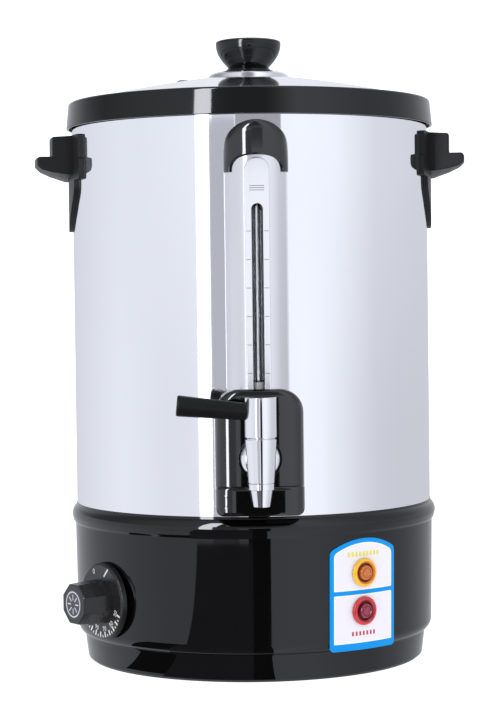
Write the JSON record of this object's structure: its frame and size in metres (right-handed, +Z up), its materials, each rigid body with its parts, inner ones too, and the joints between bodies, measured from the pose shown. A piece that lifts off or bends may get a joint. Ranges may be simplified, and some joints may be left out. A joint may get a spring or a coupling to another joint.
{
  "type": "hot water urn",
  "caption": "Double-walled steel hot water urn on a black heating base, with a sight gauge, lever tap, thermostat dial, lamp panel, side handles and lift-off lid.",
  "frame": {"origin": "centre of the foot ring's underside, on the surface the urn stands on", "axes": "+Z up along the drum's axis, tap and gauge towards -Y, handles at +X and -X"},
  "size_m": [0.364, 0.37, 0.5211],
  "materials": {
    "base_plastic": "gloss moulded",
    "black_trim": "gloss moulded",
    "lever_black": "gloss moulded",
    "collar_black": "satin moulded",
    "under_plastic": "matte moulded",
    "drum_steel": "satin mirror",
    "tank_steel": "satin",
    "lid_steel": "polished",
    "chrome": "polished",
    "fastener_steel": "bright",
    "brass": "machined",
    "rubber": "matte",
    "silicone": "translucent matte",
    "gauge_glass": "clear",
    "dial_black": "gloss moulded",
    "dial_silver": "bright",
    "ceramic_tan": "moulded",
    "copper": "drawn",
    "alloy": "cast",
    "element_steel": "heat darkened",
    "panel_film": "printed film",
    "amber_lens": "clear coloured",
    "red_lens": "clear coloured",
    "wire_red": "silicone sleeve"
  },
  "bodies": {
    "urn": {"base_housing": "base_plastic", "foot_ring": "rubber", "bottom_cover": "under_plastic", "cover_screws": "fastener_steel", "drum_shell": "drum_steel", "drum_screws": "fastener_steel", "tank": "tank_steel", "top_collar": "collar_black", "rim_gasket": "silicone", "handle_left": "black_trim", "handle_right": "black_trim", "handle_screws": "fastener_steel", "gauge_guard": "chrome", "gauge_cap": "black_trim", "sight_tube": "gauge_glass", "tube_seals": "silicone", "gauge_top_fitting": "under_plastic", "fitting_screws": "fastener_steel", "outlet_tee": "brass", "tee_gasket": "silicone", "tank_gasket": "silicone", "shank_nut": "brass", "tap_surround": "black_trim", "surround_screws": "fastener_steel", "tap_body": "chrome", "tap_flange": "chrome", "tap_nozzle": "chrome", "stem_guide": "brass", "valve_spring": "fastener_steel", "thermostat_body": "ceramic_tan", "thermostat_screws": "fastener_steel", "thermostat_bulb": "copper", "bulb_clip": "fastener_steel", "heat_spreader": "alloy", "heating_element": "element_steel", "element_clamp": "fastener_steel", "clamp_nut": "brass", "dry_boil_cutout": "under_plastic", "cutout_bracket": "fastener_steel", "lamp_panel": "panel_film", "amber_lamp": "amber_lens", "red_lamp": "red_lens", "lamp_nuts": "under_plastic", "power_inlet": "under_plastic", "inlet_pins": "brass", "inlet_screws": "fastener_steel", "terminal_block": "ceramic_tan", "wiring": "wire_red"},
    "lid": {"lid_dome": "lid_steel", "lid_knob": "black_trim", "knob_screw": "fastener_steel", "lid_vent": "fastener_steel"},
    "tap_handle": {"tap_bonnet": "chrome", "tap_lever": "lever_black", "lever_stud": "fastener_steel"},
    "valve": {"valve_stem": "fastener_steel", "valve_seal": "silicone"},
    "dial": {"dial": "dial_black", "dial_cap": "dial_silver", "thermostat_shaft": "fastener_steel"}
  },
  "joints": [
    {"name": "lid_lift", "type": "slide", "parent": "urn", "child": "lid", "axis": [0, 0, 1], "range_m": [0, 0.12]},
    {"name": "tap_turn", "type": "hinge", "parent": "urn", "child": "tap_handle", "pos_m": [0, -0.2, 0.2], "axis": [0, 0, 1], "range_deg": [0, 90]},
    {"name": "valve_lift", "type": "slide", "parent": "urn", "child": "valve", "axis": [0, 0, 1], "range_m": [0, 0.005], "deforming": ["valve_spring"]},
    {"name": "dial_turn", "type": "hinge", "parent": "urn", "child": "dial", "pos_m": [-0.12782, -0.09117, 0.059], "axis": [-0.8141, -0.5807, 0], "range_deg": [-270, 0]}
  ],
  "couplings": [
    {"joint": "tap_turn", "follows": "valve_lift", "rad_per_m": 314.16}
  ]
}
